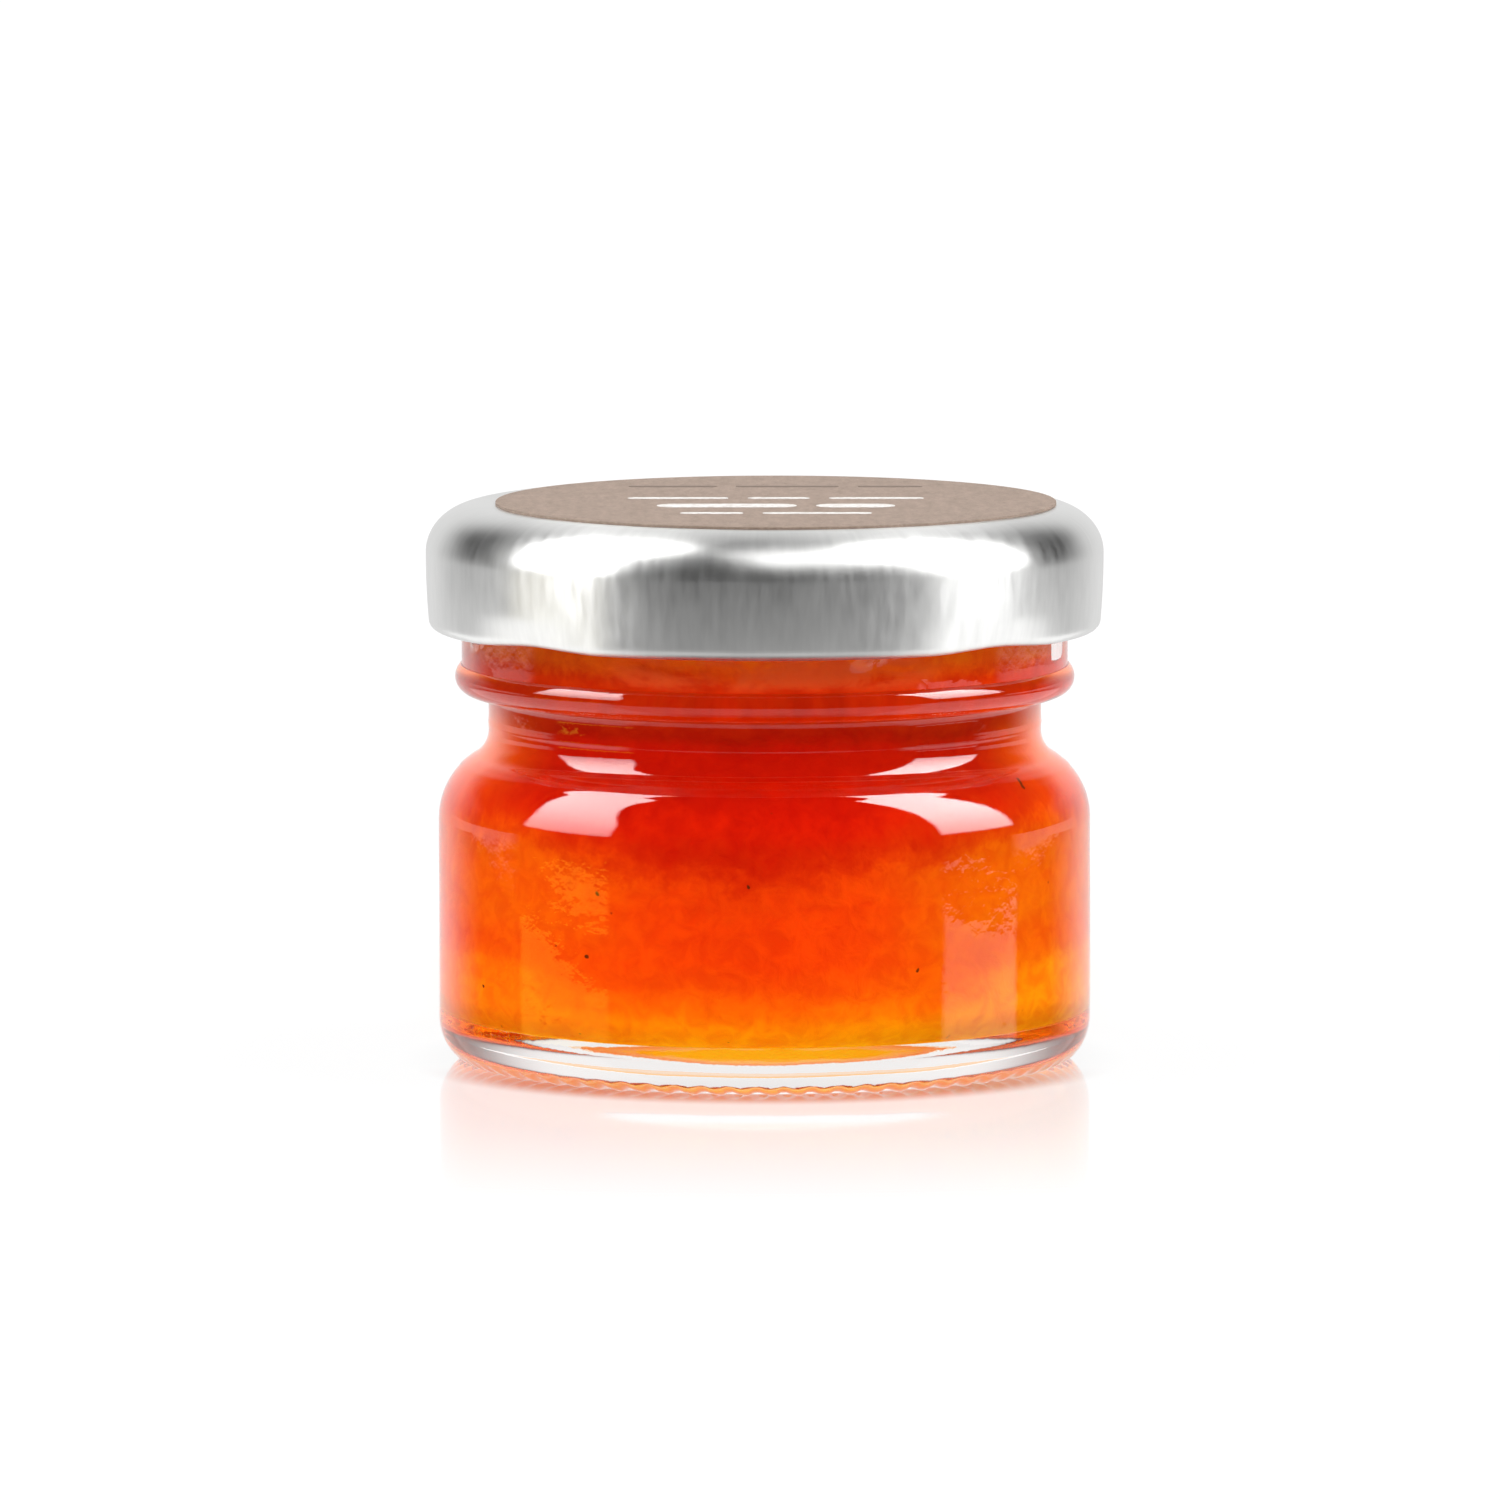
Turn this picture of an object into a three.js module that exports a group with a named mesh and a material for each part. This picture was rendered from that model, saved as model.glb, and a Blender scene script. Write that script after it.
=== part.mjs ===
// A single-portion jar of apricot jam: a thick-walled glass jar, the jam in it,
// a twist-off metal lid with four lugs, and a round paper label on the lid.
// Millimetres, +Z up. The origin is the middle of the base, on the surface the jar stands on.
// The side that faces the viewer is -Y, and azimuths run from there towards +X.
import * as THREE from "three";

// Driving dimensions of the glass
const BODY_RADIUS = 22; // straight wall
const WALL = 2.6; // glass thickness in the body and the shoulder
const WAIST_RADIUS = 18.65; // narrow neck under the bead
const FINISH_RADIUS = 20.45; // mouth ring under the lid
const MOUTH_RADIUS = 17.1; // inside of the mouth ring
const RIM_HEIGHT = 36.9; // top of the glass, just under the lid
const RIM_ROUNDING = 1.2;
const FINISH_FOOT_HEIGHT = 26.85; // where the mouth ring meets the bead

// Base of the glass
const BEARING_INNER_RADIUS = 18.2; // flat ring that the jar stands on
const HEEL_WIDTH = 2.2; // rounded heel, as a quarter of an ellipse
const HEEL_HEIGHT = 3;
const PUSH_UP = 1.8; // rise of the hollow underside at its middle
const HOLLOW_EDGE_WIDTH = 0.8; // the hollow starts with a steeper edge
const HOLLOW_EDGE_HEIGHT = 0.5;
const FLOOR_EDGE_HEIGHT = 3; // inside floor next to its rounded edge
const FLOOR_RISE = 1; // the floor's middle is this much higher
const FLOOR_ROUNDING = 3;

// Shoulder: a convex arc that runs into a concave fillet at the waist
const SHOULDER_START = 16.4;
const SHOULDER_RADIUS = 5;
const WAIST_FILLET = 2;

// Rounded bead between the waist and the mouth ring
const BEAD_CENTRE_RADIUS = 19.75;
const BEAD_CENTRE_HEIGHT = 26;
const BEAD_RADIUS = 1.15;
const BEAD_FILLET = 0.6;
const NECK_FLARE_START = 23; // the inside widens from here to the mouth

// Jam
const JAM_LEVEL = 30.4;
const JAM_GAP = 0.1; // clearance between the jam and the glass

// Lid
const LID_RADIUS = 22.85;
const LID_TOP = 37.6;
const LID_BOTTOM = 29.2;
const LID_SHEET = 0.3; // metal thickness
const LID_FLAT_RADIUS = 19.3; // flat top inside the rounded edge
const LID_EDGE_DROP = 3.2; // height of the rounded edge
const LID_TUCK = 0.25; // how far the skirt closes in towards its lower edge
const CURL_RADIUS = 0.62; // rolled lower edge
const CURL_START = 70; // degrees, where the curl leaves the inside of the skirt

// Lugs of the lid, and the glass threads that they grip under
const LUG_COUNT = 4;
const LUG_FIRST_AZIMUTH = 45; // degrees
const LUG_HALF_WIDTH = 16; // degrees
const LUG_REACH = 0.75; // how far a lug reaches inwards past the curl
const LUG_DENT = 0.3; // how far the skirt is pressed in above a lug
const LUG_LIFT = 0.25; // rise of the lower edge at a lug
const LUG_DENT_TOP = 31.6; // the pressed dent fades out at this height
const THREAD_RELIEF = 0.8; // height of a thread above the mouth ring
const THREAD_HALF_HEIGHT = 1.2;
const THREAD_LOW_END = -30; // degrees from its lug
const THREAD_BEND = -9; // steep up to here, then a gentle rise
const THREAD_HIGH_END = 34;
const THREAD_LOW_HEIGHT = 29.2; // mid-height of the thread at each of these
const THREAD_BEND_HEIGHT = 31.9;
const THREAD_HIGH_HEIGHT = 33.3;
const THREAD_END_FADE = 6; // degrees
const THREAD_STEEPNESS = 2; // flanks of a thread, 1 for the gentlest

// Label
const LABEL_RADIUS = 18.9;
const LABEL_OFFSET = 0.75; // stuck on a little to the right of the middle
const LABEL_THICKNESS = 0.2;

// Facets round the axis, rows of facets up the threaded mouth ring and across a shallow dome,
// and the largest facet of a rounded edge, by length and by turn in degrees
const SEGMENTS = 64;
const FINISH_ROWS = 12;
const DOME_ROWS = 3;
const ARC_LENGTH = 1.05;
const ARC_TURN = 45;
const DEGREE = Math.PI / 180;
const TOUCH = 0.01; // points this close count as lying on a surface

const point = (radius, height) => new THREE.Vector2(radius, height);

// Points on an elliptical arc in the profile plane, with both ends, angles in degrees.
function arc(centreRadius, centreHeight, width, height, from, to) {
  const turn = Math.abs(to - from);
  const length = Math.max(width, height) * turn * DEGREE;
  const steps = Math.ceil(Math.max(length / ARC_LENGTH, turn / ARC_TURN));
  const points = [];
  for (let i = 0; i <= steps; i++) {
    const angle = (from + ((to - from) * i) / steps) * DEGREE;
    points.push(point(centreRadius + width * Math.cos(angle), centreHeight + height * Math.sin(angle)));
  }
  return points;
}

// Points on a shallow dome, from its middle out to its edge.
function shallowDome(radius, edgeHeight, rise) {
  const points = [];
  for (let i = 0; i <= DOME_ROWS; i++) {
    const across = i / DOME_ROWS;
    points.push(point(radius * across, edgeHeight + rise * (1 - across * across)));
  }
  return points;
}

// Soft step from 0 to 1.
const smooth = (t) => {
  const clamped = Math.min(1, Math.max(0, t));
  return clamped * clamped * (3 - 2 * clamped);
};

// Signed angle in degrees from the nearest lug, positive towards the lug's right.
function angleFromLug(azimuth) {
  const pitch = 360 / LUG_COUNT;
  const angle = azimuth - LUG_FIRST_AZIMUTH;
  return angle - pitch * Math.round(angle / pitch);
}

// Turns a profile about the axis and stands it up along +Z.
// shift(azimuth, radius, height) gives the change of radius and height of each point.
function turned(profile, shift) {
  const geometry = new THREE.LatheGeometry(profile, SEGMENTS);
  geometry.rotateX(Math.PI / 2);
  if (!shift) return geometry;
  const position = geometry.getAttribute("position");
  for (let i = 0; i < position.count; i++) {
    const x = position.getX(i);
    const y = position.getY(i);
    const z = position.getZ(i);
    const radius = Math.hypot(x, y);
    if (radius < TOUCH) continue;
    const azimuth = Math.atan2(x, -y) / DEGREE;
    const change = shift(azimuth, radius, z);
    const scale = (radius + change.radius) / radius;
    position.setXYZ(i, x * scale, y * scale, z + change.height);
  }
  return geometry;
}

// Meeting point of the shoulder arc and the waist fillet, as an angle seen from the shoulder's centre.
const shoulderCentreRadius = BODY_RADIUS - SHOULDER_RADIUS;
const waistFilletRadius = WAIST_RADIUS + WAIST_FILLET;
const shoulderReach = waistFilletRadius - shoulderCentreRadius;
const shoulderEnd = Math.acos(shoulderReach / (SHOULDER_RADIUS + WAIST_FILLET)) / DEGREE;
const waistStart = SHOULDER_START + (SHOULDER_RADIUS + WAIST_FILLET) * Math.sin(shoulderEnd * DEGREE);

// The same for the bead and the fillet below it.
const beadFilletRadius = WAIST_RADIUS + BEAD_FILLET;
const beadReach = beadFilletRadius - BEAD_CENTRE_RADIUS;
const beadStart = -Math.acos(beadReach / (BEAD_RADIUS + BEAD_FILLET)) / DEGREE;
const waistEnd = BEAD_CENTRE_HEIGHT + (BEAD_RADIUS + BEAD_FILLET) * Math.sin(beadStart * DEGREE);
const beadFinish = Math.asin((FINISH_FOOT_HEIGHT - BEAD_CENTRE_HEIGHT) / BEAD_RADIUS) / DEGREE;

// Outside of the glass, from the middle of the underside up to the rim.
function glassOutside() {
  const hollow = BEARING_INNER_RADIUS - HOLLOW_EDGE_WIDTH;
  const heelFoot = BODY_RADIUS - HEEL_WIDTH;
  const points = [
    ...shallowDome(hollow, HOLLOW_EDGE_HEIGHT, PUSH_UP - HOLLOW_EDGE_HEIGHT),
    point(BEARING_INNER_RADIUS, 0),
    ...arc(heelFoot, HEEL_HEIGHT, HEEL_WIDTH, HEEL_HEIGHT, -90, 0),
    ...arc(shoulderCentreRadius, SHOULDER_START, SHOULDER_RADIUS, SHOULDER_RADIUS, 0, shoulderEnd),
    ...arc(waistFilletRadius, waistStart, WAIST_FILLET, WAIST_FILLET, 180 + shoulderEnd, 180).slice(1),
    ...arc(beadFilletRadius, waistEnd, BEAD_FILLET, BEAD_FILLET, 180, 180 + beadStart),
    ...arc(BEAD_CENTRE_RADIUS, BEAD_CENTRE_HEIGHT, BEAD_RADIUS, BEAD_RADIUS, beadStart, beadFinish).slice(1),
  ];
  const finishTop = RIM_HEIGHT - RIM_ROUNDING;
  for (let i = 1; i < FINISH_ROWS; i++) {
    const height = FINISH_FOOT_HEIGHT + ((finishTop - FINISH_FOOT_HEIGHT) * i) / FINISH_ROWS;
    points.push(point(FINISH_RADIUS, height));
  }
  points.push(...arc(FINISH_RADIUS - RIM_ROUNDING, finishTop, RIM_ROUNDING, RIM_ROUNDING, 0, 90));
  return points;
}

// Inside of the glass from the mouth down to the middle of the floor, moved inwards by a clearance.
function glassInside(top, clearance) {
  const innerBody = BODY_RADIUS - WALL - clearance;
  const innerNeck = WAIST_RADIUS - WALL - clearance;
  const fillet = WAIST_FILLET + WALL + clearance;
  const shoulder = SHOULDER_RADIUS - WALL - clearance;
  const rounding = FLOOR_ROUNDING;
  const floorRadius = innerBody - rounding;
  const floorEdge = FLOOR_EDGE_HEIGHT + clearance;
  return [
    point(MOUTH_RADIUS - clearance, top),
    point(MOUTH_RADIUS - clearance, FINISH_FOOT_HEIGHT),
    point(innerNeck, NECK_FLARE_START),
    ...arc(waistFilletRadius, waistStart, fillet, fillet, 180, 180 + shoulderEnd),
    ...arc(shoulderCentreRadius, SHOULDER_START, shoulder, shoulder, shoulderEnd, 0).slice(1),
    ...arc(floorRadius, floorEdge + rounding, rounding, rounding, 0, -90),
    ...shallowDome(floorRadius, floorEdge, FLOOR_RISE).reverse().slice(1),
  ];
}

// Raised threads on the mouth ring: each has its low end to the left of its lug and climbs to the right.
function threadRelief(azimuth, radius, height) {
  const angle = angleFromLug(azimuth);
  const none = { radius: 0, height: 0 };
  const onFinish = Math.abs(radius - FINISH_RADIUS) < TOUCH && height > FINISH_FOOT_HEIGHT + TOUCH;
  if (!onFinish || angle < THREAD_LOW_END || angle > THREAD_HIGH_END) return none;
  const steep = (angle - THREAD_LOW_END) / (THREAD_BEND - THREAD_LOW_END);
  const gentle = (angle - THREAD_BEND) / (THREAD_HIGH_END - THREAD_BEND);
  const middle =
    angle < THREAD_BEND
      ? THREAD_LOW_HEIGHT + (THREAD_BEND_HEIGHT - THREAD_LOW_HEIGHT) * steep
      : THREAD_BEND_HEIGHT + (THREAD_HIGH_HEIGHT - THREAD_BEND_HEIGHT) * gentle;
  const across = smooth(THREAD_STEEPNESS * (1 - Math.abs(height - middle) / THREAD_HALF_HEIGHT));
  const fromEnd = Math.min(angle - THREAD_LOW_END, THREAD_HIGH_END - angle);
  return { radius: THREAD_RELIEF * across * smooth(fromEnd / THREAD_END_FADE), height: 0 };
}

function makeGlass() {
  const inside = glassInside(RIM_HEIGHT, 0);
  return turned([...glassOutside(), ...inside], threadRelief);
}

function makeJam() {
  return turned([...glassInside(JAM_LEVEL, JAM_GAP).reverse(), point(0, JAM_LEVEL)]);
}

// Lid shell, from the middle of its inside, round the rolled lower edge, to the middle of the top.
function lidProfile() {
  const edgeWidth = LID_RADIUS - LID_FLAT_RADIUS;
  const edgeFoot = LID_TOP - LID_EDGE_DROP;
  const curlCentre = LID_RADIUS - CURL_RADIUS;
  const curlHeight = LID_BOTTOM + CURL_RADIUS;
  const inner = LID_RADIUS - LID_SHEET;
  return [
    point(0, LID_TOP - LID_SHEET),
    ...arc(LID_FLAT_RADIUS, edgeFoot, edgeWidth - LID_SHEET, LID_EDGE_DROP - LID_SHEET, 90, 0),
    point(inner, LUG_DENT_TOP),
    ...arc(curlCentre, curlHeight, CURL_RADIUS, CURL_RADIUS, CURL_START, 360),
    point(LID_RADIUS, (LUG_DENT_TOP + curlHeight) / 2),
    point(LID_RADIUS, LUG_DENT_TOP),
    ...arc(LID_FLAT_RADIUS, edgeFoot, edgeWidth, LID_EDGE_DROP, 0, 90),
    point(0, LID_TOP),
  ];
}

// The skirt closes in downwards. At each lug it is pressed in, its lower edge lifts,
// and the curl reaches in under the thread.
function skirtShape(azimuth, radius, height) {
  const skirtTop = LID_TOP - LID_EDGE_DROP;
  const down = Math.max(0, (skirtTop - height) / (skirtTop - LID_BOTTOM));
  const tuck = LID_TUCK * down * down;
  const across = smooth(1 - Math.abs(angleFromLug(azimuth)) / LUG_HALF_WIDTH);
  const low = smooth((LUG_DENT_TOP - height) / (LUG_DENT_TOP - LID_BOTTOM));
  const innermost = LID_RADIUS - 2 * CURL_RADIUS;
  const inward = smooth((LID_RADIUS - LID_SHEET - radius) / (LID_RADIUS - LID_SHEET - innermost));
  return {
    radius: -tuck - across * low * (LUG_DENT + (LUG_REACH - LUG_DENT) * inward),
    height: across * low * LUG_LIFT,
  };
}

function makeLid() {
  return turned(lidProfile(), skirtShape);
}

function makeLabel() {
  const top = LID_TOP + LABEL_THICKNESS;
  return turned([point(0, LID_TOP), point(LABEL_RADIUS, LID_TOP), point(LABEL_RADIUS, top), point(0, top)]);
}

function part(name, geometry, look) {
  const mesh = new THREE.Mesh(geometry, new THREE.MeshStandardMaterial(look));
  mesh.name = name;
  return mesh;
}

const CLEAR_GLASS = { color: 0xeef2ee, roughness: 0.05, metalness: 0, transparent: true, opacity: 0.35 };
const APRICOT_JAM = { color: 0xf04a05, roughness: 0.3, metalness: 0 };
const BRUSHED_TINPLATE = { color: 0xc9c9c6, roughness: 0.3, metalness: 1 };
const BROWN_PAPER = { color: 0xa8937f, roughness: 0.8, metalness: 0 };

const jar = new THREE.Group();
jar.add(part("glass_jar", makeGlass(), CLEAR_GLASS));
jar.add(part("jam", makeJam(), APRICOT_JAM));
jar.add(part("lid", makeLid(), BRUSHED_TINPLATE));
const label = part("label", makeLabel(), BROWN_PAPER);
label.position.x = LABEL_OFFSET;
jar.add(label);

export default jar;
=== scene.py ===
import math

import bpy
import numpy as np
from mathutils import Matrix, Vector


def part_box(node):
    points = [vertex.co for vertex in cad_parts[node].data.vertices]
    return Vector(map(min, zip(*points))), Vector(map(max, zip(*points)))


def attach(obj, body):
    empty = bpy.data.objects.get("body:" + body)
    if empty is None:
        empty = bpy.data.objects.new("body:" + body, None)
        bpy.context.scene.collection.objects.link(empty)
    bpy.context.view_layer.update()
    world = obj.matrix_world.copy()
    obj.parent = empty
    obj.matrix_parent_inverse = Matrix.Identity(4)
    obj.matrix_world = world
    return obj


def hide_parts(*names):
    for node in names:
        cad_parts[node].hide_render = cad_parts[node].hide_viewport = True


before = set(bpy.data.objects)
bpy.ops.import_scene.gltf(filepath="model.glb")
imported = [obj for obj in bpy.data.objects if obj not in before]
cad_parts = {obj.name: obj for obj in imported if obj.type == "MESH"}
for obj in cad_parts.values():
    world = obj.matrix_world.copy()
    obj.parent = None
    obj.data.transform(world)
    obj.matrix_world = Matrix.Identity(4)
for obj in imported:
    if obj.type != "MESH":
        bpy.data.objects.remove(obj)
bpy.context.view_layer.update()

MM = 0.001
DEGREE = math.pi / 180
TOUCH = 0.01  # points this close count as one, or as lying on a surface


def node_box(name):
    """Lowest and highest corner of a CAD node, in millimetres."""
    low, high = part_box(name)
    return np.array(low) / MM, np.array(high) / MM


glass_high = node_box("glass_jar")[1]
jam_low, jam_high = node_box("jam")
lid_low, lid_high = node_box("lid")
label_low, label_high = node_box("label")

# Glass
JAM_GAP = 0.1  # clearance round the CAD jam
BODY_RADIUS = glass_high[0]
RIM_HEIGHT = glass_high[2]
INNER_RADIUS = jam_high[0] + JAM_GAP
WALL = BODY_RADIUS - INNER_RADIUS
FLOOR_EDGE_HEIGHT = jam_low[2] - JAM_GAP
FLOOR_RISE = 1  # the floor's middle is this much higher
WAIST_RADIUS = 18.65
FINISH_RADIUS = 20.45
MOUTH_RADIUS = 17.1
RIM_ROUNDING = 1.2
FINISH_FOOT_HEIGHT = 26.85
BEARING_INNER_RADIUS = 18.2
HEEL_WIDTH = 2.2
HEEL_HEIGHT = 3
PUSH_UP = 1.8
HOLLOW_EDGE_WIDTH = 0.8  # the hollow under the base starts with a steeper edge
HOLLOW_EDGE_HEIGHT = 0.5
FLOOR_ROUNDING = 3
SHOULDER_START = 16.4
SHOULDER_RADIUS = 5
WAIST_FILLET = 2
BEAD_CENTRE_RADIUS = 19.75
BEAD_CENTRE_HEIGHT = 26
BEAD_RADIUS = 1.15
BEAD_FILLET = 0.6
NECK_FLARE_START = 23

# Marks of the mould and of hot glass
KNURL_COUNT = 72
KNURL_DEPTH = 0.2
KNURL_TOP = 0.9  # the notches fade out at this height of the heel
KNURL_SLANT = 40  # degrees of a notch's phase for each millimetre outwards
KNURL_STEEPNESS = 0.9
SEAM_AZIMUTHS = (30, 210)  # upright seams of the mouth ring
SEAM_HEIGHT = 0.06
SEAM_WIDTH = 0.8  # degrees
RING_HEIGHTS = (20.0, 22.9)  # parting lines round the shoulder and the waist
RING_RELIEF = 0.05
RING_WIDTH = 0.12
GLASS_RIPPLE = 0.02
GLASS_PHASE = 1.0  # moves the waves of the ripple, so that glass and jam differ
RIPPLE_WAVES = (  # strength, waves round the jar, slant in radians for each millimetre, share of the phase
    (1.0, 3, 0.35, 1.0),
    (0.6, 7, -0.5, 1.3),
    (0.4, 13, 0.9, 2.1),
)

# Steps of the meshes: segments round the axis, and lengths along the outlines
GLASS_SEGMENTS = 5 * KNURL_COUNT
JAM_SEGMENTS = 240
LID_SEGMENTS = 288
LABEL_SEGMENTS = 180
LONG_STEP = 1.0
NECK_STEP = 0.5
MEDIUM_STEP = 0.4
ROUND_STEP = 0.3
FINE_STEP = 0.2
TIGHT_STEP = 0.15
CURL_STEP = 0.12
BAR_STEP = 0.1
PAPER_EDGE_STEP = 0.03
LID_INSIDE_STEP = 3.0
LID_TOP_STEP = 2.0
LABEL_UNDERSIDE_STEP = 4.0
LABEL_TOP_STEP = 1.5

# Threads of the mouth ring and lugs of the lid
LUG_COUNT = 4
LUG_FIRST_AZIMUTH = 45
LUG_HALF_WIDTH = 16
LUG_REACH = 0.75
LUG_DENT = 0.3
LUG_LIFT = 0.25
LUG_DENT_TOP = 31.6
THREAD_RELIEF = 0.8
THREAD_HALF_HEIGHT = 1.2
THREAD_ANGLES = (-30, -9, 34)  # low end, bend and high end, from the lug
THREAD_HEIGHTS = (29.2, 31.9, 33.3)
THREAD_END_FADE = 6
THREAD_STEEPNESS = 2

# Jam
JAM_INTO_WALL = 0.06  # reach of the jam into the glass, so that no air shows between them
JAM_LEVEL = jam_high[2]
JAM_LUMPS = 0.3  # unevenness of the jam's top
JAM_PHASE = 2.0
LUMP_FADE = 3  # the lumps fade out towards the wall
POCKET_AZIMUTH = 84  # air pocket in the neck
POCKET_HALF_WIDTH = 5
POCKET_EDGE = 4  # degrees
POCKET_FOOT = 27.2
POCKET_FOOT_FADE = 0.8
POCKET_DEPTH = 0.8
POCKET_REACH = (10, 5)  # radius where it starts to count, and the width of its fade
JAM_TO_GLASS_IOR = 0.985  # jam bends light a little less than glass, so shallow rays mirror off it

# Lid
LID_RADIUS = lid_high[0]
LID_TOP = lid_high[2]
LID_BOTTOM = lid_low[2]
LID_SHEET = 0.3
LID_FLAT_RADIUS = 19.3
LID_EDGE_DROP = 3.2
LID_TUCK = 0.25  # how far the skirt closes in towards its lower edge
CURL_RADIUS = 0.62
CURL_START = 70  # degrees, where the rolled edge ends inside the lid
LID_SMOOTH = 0.28  # roughness of the metal where it is smoothest
LID_DULL = 0.36
LID_BRUSH = 0.75  # how much further reflections stretch up and down than sideways
TINPLATE_DARK = (0.62, 0.62, 0.612, 1)
TINPLATE_PALE = (0.76, 0.76, 0.75, 1)

# Label
LABEL_RADIUS = (label_high[0] - label_low[0]) / 2
LABEL_MIDDLE = (label_high[0] + label_low[0]) / 2
LABEL_TOP = label_high[2]
LABEL_EDGE = 0.06
PAPER_DARK = (0.096, 0.066, 0.047, 1)
PAPER_PALE = (0.206, 0.153, 0.121, 1)
MARK_RELIEF = 0.02  # ink above the paper
MARK_SUNK = 0.05
MARK_GAP = 1.3  # between the bars of a row
MARK_ROWS = (  # distance behind the label's middle, thickness of the bars, their lengths
    (10.6, 0.9, (6.0, 7.0, 4.4)),
    (1.8, 1.2, (6.8, 4.2, 6.4)),
    (-3.7, 2.6, (9.4, 5.3)),
    (-9.1, 1.2, (4.2, 7.3)),
)
DARK_ROW = 6.0  # the row behind this is printed in brown instead of white
DARK_ROW_EDGE = 0.5
WHITE_INK = ((0.30, 0.27, 0.25, 1), (0.42, 0.41, 0.40, 1))  # worn and fresh
BROWN_INK = ((0.06, 0.04, 0.03, 1), (0.12, 0.085, 0.065, 1))

# Camera
CAMERA_PLACE = (-0.00099, -1.0, 0.130)
CAMERA_TARGET = (-0.00099, 0.0, 0.0209)
CAMERA_LENS = 357.6
CAMERA_SENSOR = 36
CAMERA_REACH = 100
GLASS_BOUNCES = 14
DIFFUSE_BOUNCES = 2

# Floor, with distances from the jar in millimetres.
# A window is its low end, its high end and its softness.
FLOOR_SIZE = 12.0
FLOOR_DROP = 0.02 * MM
JAR_FOOT = BODY_RADIUS - HEEL_WIDTH
FOOT_EDGE = 1.5
TABLE_WHITE = 0.99
UNDER_JAR = 1.12  # light that comes down through the jar
FLOOR_GREY = (0.03, 0.03, 0.03, 1)
FLOOR_SHINE = 0.06
BROAD_GLOSS = 0.32
BROAD_REACH = 90.0
CONTACT_GLOSS = 0.4
CONTACT_REACH = 25.0
CONTACT_SHADOW_FRONT = (-16.0, -4.0)
CONTACT_SHADOW_COLOUR = (0.50, 0.16, 0.10, 1)
GLOW_COLOUR = (0.95, 0.43, 0.025, 1)  # light through the jam on the table behind the jar
GLOW_ACROSS = (-15.0, 15.0, 12.0)
GLOW_BEHIND = (28.0, 85.0, 25.0)

# Lamps
FILL_POWER = 13.0
FILL_SIZE = 0.8
FILL_PLACE = (0.0, -1.3, 0.7)
LID_LIGHT_SIZE = 0.56
LID_LIGHT_POWER = 2.2
LID_LIGHT_PLACE = (25.0, 60.0, 0.8)  # azimuth, elevation, distance

# Room, in degrees of azimuth and elevation.
# A soft step is where it starts, where it ends, and the values there.
BACKDROP = 1.1
BACKDROP_EDGE = (118.0, 152.0)
BACKDROP_INSET = (10.0, 25.0, 0.0, 18.0)  # the backdrop is narrower higher up
BACKDROP_FADE = (48.0, 72.0, BACKDROP, 0.3)
LEFT_PANEL = (5.0, 15.0)  # strength at the bottom and from half-way up
RIGHT_PANEL = (8.0, 20.0)
PANEL_HALF_WAY = 45.0
LEFT_PANEL_ACROSS = (-96.0, -57.0, 1.5)
LEFT_PANEL_LEAN = (20.0, 60.0, 0.0, 16.0)
LEFT_PANEL_UP = (10.0, 76.0, 1.5)
RIGHT_PANEL_ACROSS = (66.0, 100.0, 1.5)
RIGHT_PANEL_UP = (10.0, 72.0, 1.5)
JAR_SHADE = (-75.0, -50.0, 0.2, 1.0)  # the table is darker close to the jar
NEAR_TABLE = (-19.0, -13.0, 1.0, 0.0)
SIDE_TABLE = (-13.0, -8.6, 1.7, 0.0)
SIDE_TABLE_ACROSS = (60.0, 150.0, 5.0)
FAR_TABLE = 1.0
FAR_TABLE_ACROSS = (100.0, 150.0, 4.0)
FAR_TABLE_UP = (-5.9, 0.0, 0.3)
STRIP_UP = (-8.5, -6.84, 0.15)  # strip of the table below each panel
RIGHT_STRIP = 1.5
LEFT_STRIP = 1.6
LEFT_STRIP_COLOUR = (1.0, 0.8, 0.05, 1)  # light through the jam
DARK_ROOM = 0.03


def arc(centre, size, start, end, step):
    """Points on an elliptical arc of the outline, both ends included, angles in degrees."""
    length = max(size) * abs(end - start) * DEGREE
    angles = np.linspace(start, end, max(3, math.ceil(length / step) + 1)) * DEGREE
    return np.column_stack((centre[0] + size[0] * np.cos(angles), centre[1] + size[1] * np.sin(angles)))


def line(start, end, step):
    """Evenly spaced points on a straight stretch of the outline, both ends included."""
    return np.linspace(start, end, max(2, math.ceil(math.dist(start, end) / step) + 1))


def shallow_dome(radius, edge_height, rise, step):
    """Points on a shallow dome, from its middle out to its edge."""
    across = np.linspace(0, 1, math.ceil(radius / step) + 1)
    return np.column_stack((radius * across, edge_height + rise * (1 - across**2)))


def joined(*runs):
    """One outline from several runs of points, without repeated points."""
    points = np.vstack(runs)
    keep = np.append(True, np.linalg.norm(np.diff(points, axis=0), axis=1) > TOUCH)
    return points[keep]


def smooth(t):
    """Soft step from 0 to 1."""
    clamped = np.clip(t, 0, 1)
    return clamped * clamped * (3 - 2 * clamped)


def bump(distance, width):
    """Bell curve of height 1."""
    return np.exp(-((distance / width) ** 2))


def turn_between(azimuth, centre):
    """Signed angle from centre to azimuth, from -180 to 180."""
    return (azimuth - centre + 180) % 360 - 180


def angle_from_lug(azimuth):
    """Signed angle from the nearest lug."""
    pitch = 360 / LUG_COUNT
    turn = azimuth - LUG_FIRST_AZIMUTH
    return turn - pitch * np.round(turn / pitch)


def ripple(azimuth, height, phase):
    """Slow uneven waves of a hand-sized glass surface, between about -1 and 1."""
    turn = azimuth * DEGREE
    waves = (
        strength * np.sin(count * turn + slant * height + share * phase)
        for strength, count, slant, share in RIPPLE_WAVES
    )
    return sum(waves) / 2


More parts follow.
